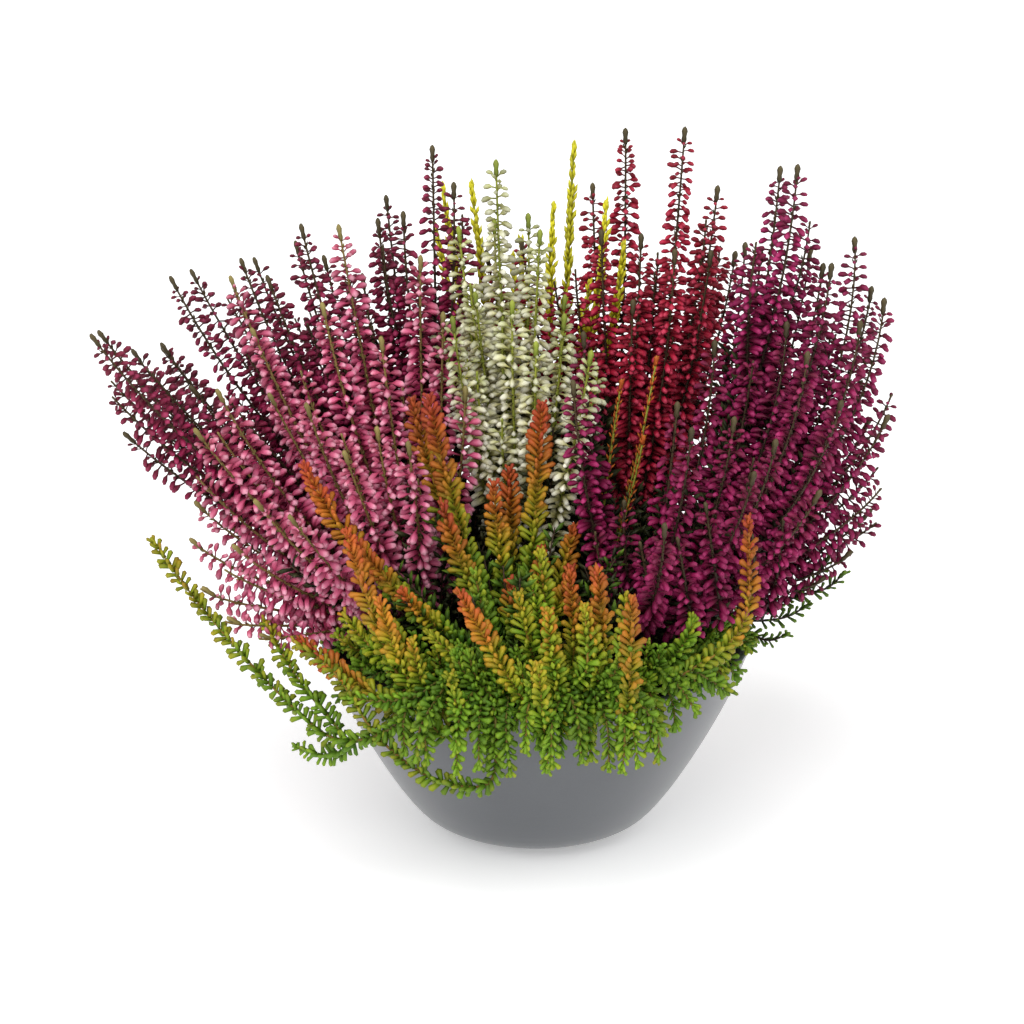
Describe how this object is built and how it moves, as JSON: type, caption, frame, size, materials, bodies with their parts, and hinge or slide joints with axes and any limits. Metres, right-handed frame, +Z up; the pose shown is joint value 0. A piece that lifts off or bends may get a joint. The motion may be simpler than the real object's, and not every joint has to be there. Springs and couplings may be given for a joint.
{
  "type": "potted heather",
  "caption": "Round bowl planted with mixed flowering heathers: upright and splayed spikes in several colours, with green and orange foliage trailing over the front rim.",
  "frame": {"origin": "centre of the bowl's flat foot, on the surface that it stands on", "axes": "+Z up, -Y towards the front, where the foliage hangs over the rim, +X to the right of a viewer in front"},
  "size_m": [0.3408, 0.2554, 0.305],
  "materials": {
    "bowl": "satin grey",
    "soil": "matt, crumbly",
    "branches": "matt bark with small leaves",
    "foliage": "matt scale leaves, green to orange",
    "crimson_flowers": "matt florets",
    "pink_flowers": "matt florets",
    "white_flowers": "matt florets",
    "golden_flowers": "matt scale leaves",
    "red_flowers": "matt florets",
    "magenta_flowers": "matt florets",
    "amber_flowers": "matt scale leaves"
  },
  "bodies": {
    "root": {"amber_branches": "branches", "amber_spray_01": "amber_flowers", "bowl": "bowl", "crimson_branches": "branches", "crimson_spray_01": "crimson_flowers", "crimson_spray_02": "crimson_flowers", "crimson_spray_03": "crimson_flowers", "crimson_spray_04": "crimson_flowers", "crimson_spray_05": "crimson_flowers", "crimson_spray_06": "crimson_flowers", "crimson_spray_07": "crimson_flowers", "crimson_spray_08": "crimson_flowers", "foliage_branches": "branches", "foliage_front": "foliage", "foliage_spray_01": "foliage", "foliage_spray_02": "foliage", "foliage_spray_03": "foliage", "foliage_spray_04": "foliage", "foliage_spray_05": "foliage", "foliage_trailing_left": "foliage", "foliage_trailing_right": "foliage", "golden_branches": "branches", "golden_spray_01": "golden_flowers", "golden_spray_02": "golden_flowers", "golden_spray_03": "golden_flowers", "magenta_far_branches": "branches", "magenta_far_spray_01": "magenta_flowers", "magenta_far_spray_02": "magenta_flowers", "magenta_far_spray_03": "magenta_flowers", "magenta_far_spray_04": "magenta_flowers", "magenta_far_spray_05": "magenta_flowers", "magenta_far_spray_06": "magenta_flowers", "magenta_near_branches": "branches", "magenta_near_spray_01": "magenta_flowers", "magenta_near_spray_02": "magenta_flowers", "magenta_near_spray_03": "magenta_flowers", "magenta_near_spray_04": "magenta_flowers", "magenta_near_spray_05": "magenta_flowers", "pink_branches": "branches", "pink_spray_01": "pink_flowers", "pink_spray_02": "pink_flowers", "pink_spray_03": "pink_flowers", "pink_spray_04": "pink_flowers", "pink_spray_05": "pink_flowers", "pink_spray_06": "pink_flowers", "pink_spray_07": "pink_flowers", "pink_spray_08": "pink_flowers", "red_branches": "branches", "red_spray_01": "red_flowers", "red_spray_02": "red_flowers", "red_spray_03": "red_flowers", "red_spray_04": "red_flowers", "red_spray_05": "red_flowers", "soil": "soil", "white_branches": "branches", "white_spray_01": "white_flowers", "white_spray_02": "white_flowers", "white_spray_03": "white_flowers", "white_spray_04": "white_flowers", "white_spray_05": "white_flowers"}
  },
  "joints": []
}
